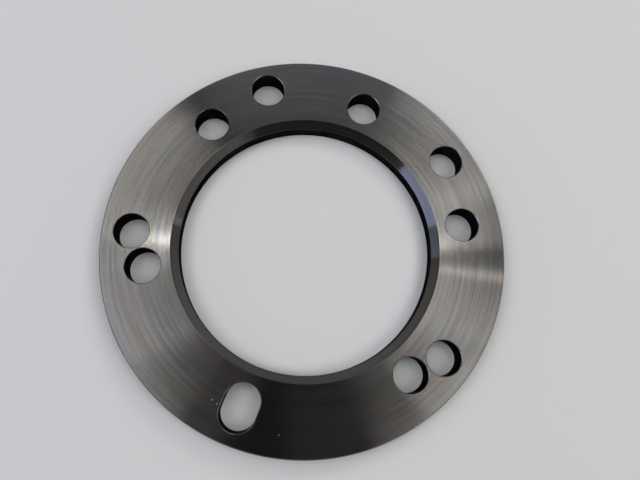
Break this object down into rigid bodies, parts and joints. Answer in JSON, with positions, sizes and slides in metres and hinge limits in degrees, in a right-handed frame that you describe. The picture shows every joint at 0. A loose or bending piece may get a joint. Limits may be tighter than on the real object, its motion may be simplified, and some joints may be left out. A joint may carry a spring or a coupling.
{
  "type": "wheel spacer",
  "caption": "Flat black turned ring with a bevelled hub bore and interleaved stud circles that meet in a radial slot, clamped between a wheel and its hub to move the wheel outwards.",
  "frame": {"origin": "on the bore axis, at the plain back face", "axes": "+Z along the bore axis towards the bevelled face, -Y along the radius of the shared slot"},
  "size_m": [0.175, 0.175, 0.01],
  "materials": {
    "black_anodised_aluminium": "lathe-turned faces with fine concentric marks, black anodised, satin"
  },
  "bodies": {
    "root": {"spacer_ring": "black_anodised_aluminium"}
  },
  "joints": []
}
